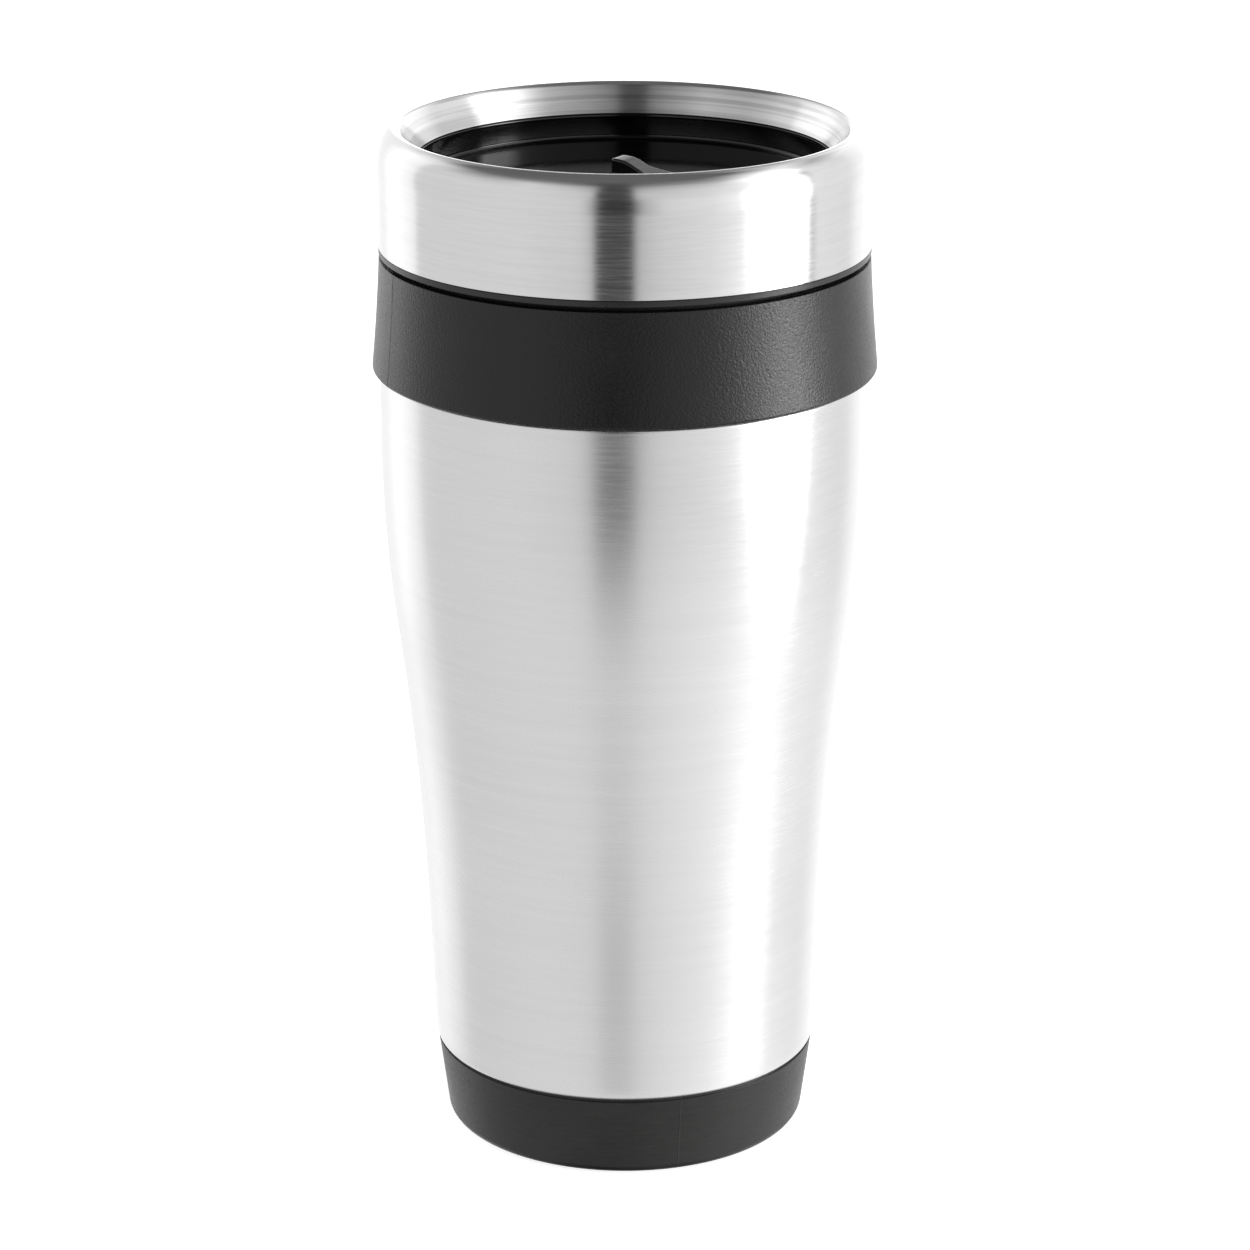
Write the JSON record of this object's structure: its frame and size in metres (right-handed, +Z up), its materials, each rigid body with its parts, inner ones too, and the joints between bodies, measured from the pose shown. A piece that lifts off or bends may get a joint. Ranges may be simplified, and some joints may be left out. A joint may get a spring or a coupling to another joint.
{
  "type": "insulated travel mug",
  "caption": "Tall steel-clad travel mug with a plastic liner, dark grip collar and base, and a screw-on steel-trimmed lid with a swivelling lever over its drinking hole.",
  "frame": {"origin": "centre of the foot, on the surface the mug stands on", "axes": "+Z up along the mug's axis; +X from the axis towards the drinking hole; +Y to the left of a drinker facing along -X"},
  "size_m": [0.0852, 0.0852, 0.1767],
  "materials": {
    "body_steel": "brushed round the mug, satin",
    "lid_steel": "brushed round the lid, a little brighter than the body",
    "liner_plastic": "black, satin",
    "band_plastic": "charcoal, fine moulded grain, soft sheen",
    "base_plastic": "charcoal, fine satin",
    "flange_plastic": "charcoal, satin",
    "lid_plastic": "black, polished",
    "lever_plastic": "black, semi-gloss with worn edges",
    "silicone": "dark grey silicone, matt",
    "pad_rubber": "black, matt, non-slip",
    "washer_steel": "stamped stainless",
    "screw_steel": "plain stainless"
  },
  "bodies": {
    "cup": {"outer_shell": "body_steel", "inner_liner": "liner_plastic", "grip_band": "band_plastic", "rim_seal": "silicone", "base_cap": "base_plastic", "base_seal": "silicone", "base_pad": "pad_rubber"},
    "gasket": {"lid_gasket": "silicone"},
    "lid": {"lid_steel_ring": "lid_steel", "lid_bowl": "lid_plastic", "lid_plug": "flange_plastic", "lid_inner_cover": "flange_plastic", "drink_port_grommet": "silicone"},
    "lever": {"swivel_lever": "lever_plastic", "drink_seal": "silicone", "pivot_o_ring": "silicone", "pivot_spring_washer": "washer_steel", "pivot_screw": "screw_steel"}
  },
  "joints": [
    {"name": "lid_rise", "type": "slide", "parent": "cup", "child": "gasket", "axis": [0, 0, 1], "range_m": [0, 0.0136]},
    {"name": "lid_turn", "type": "hinge", "parent": "gasket", "child": "lid", "pos_m": [0, 0, 0.155], "axis": [0, 0, 1], "range_deg": [0, 810]},
    {"name": "lever_swing", "type": "hinge", "parent": "lid", "child": "lever", "pos_m": [0, 0, 0.1665], "axis": [0, 0, -1], "range_deg": [0, 55]}
  ],
  "couplings": [
    {"joint": "lid_rise", "follows": "lid_turn", "m_per_rad": 0.00095493}
  ]
}
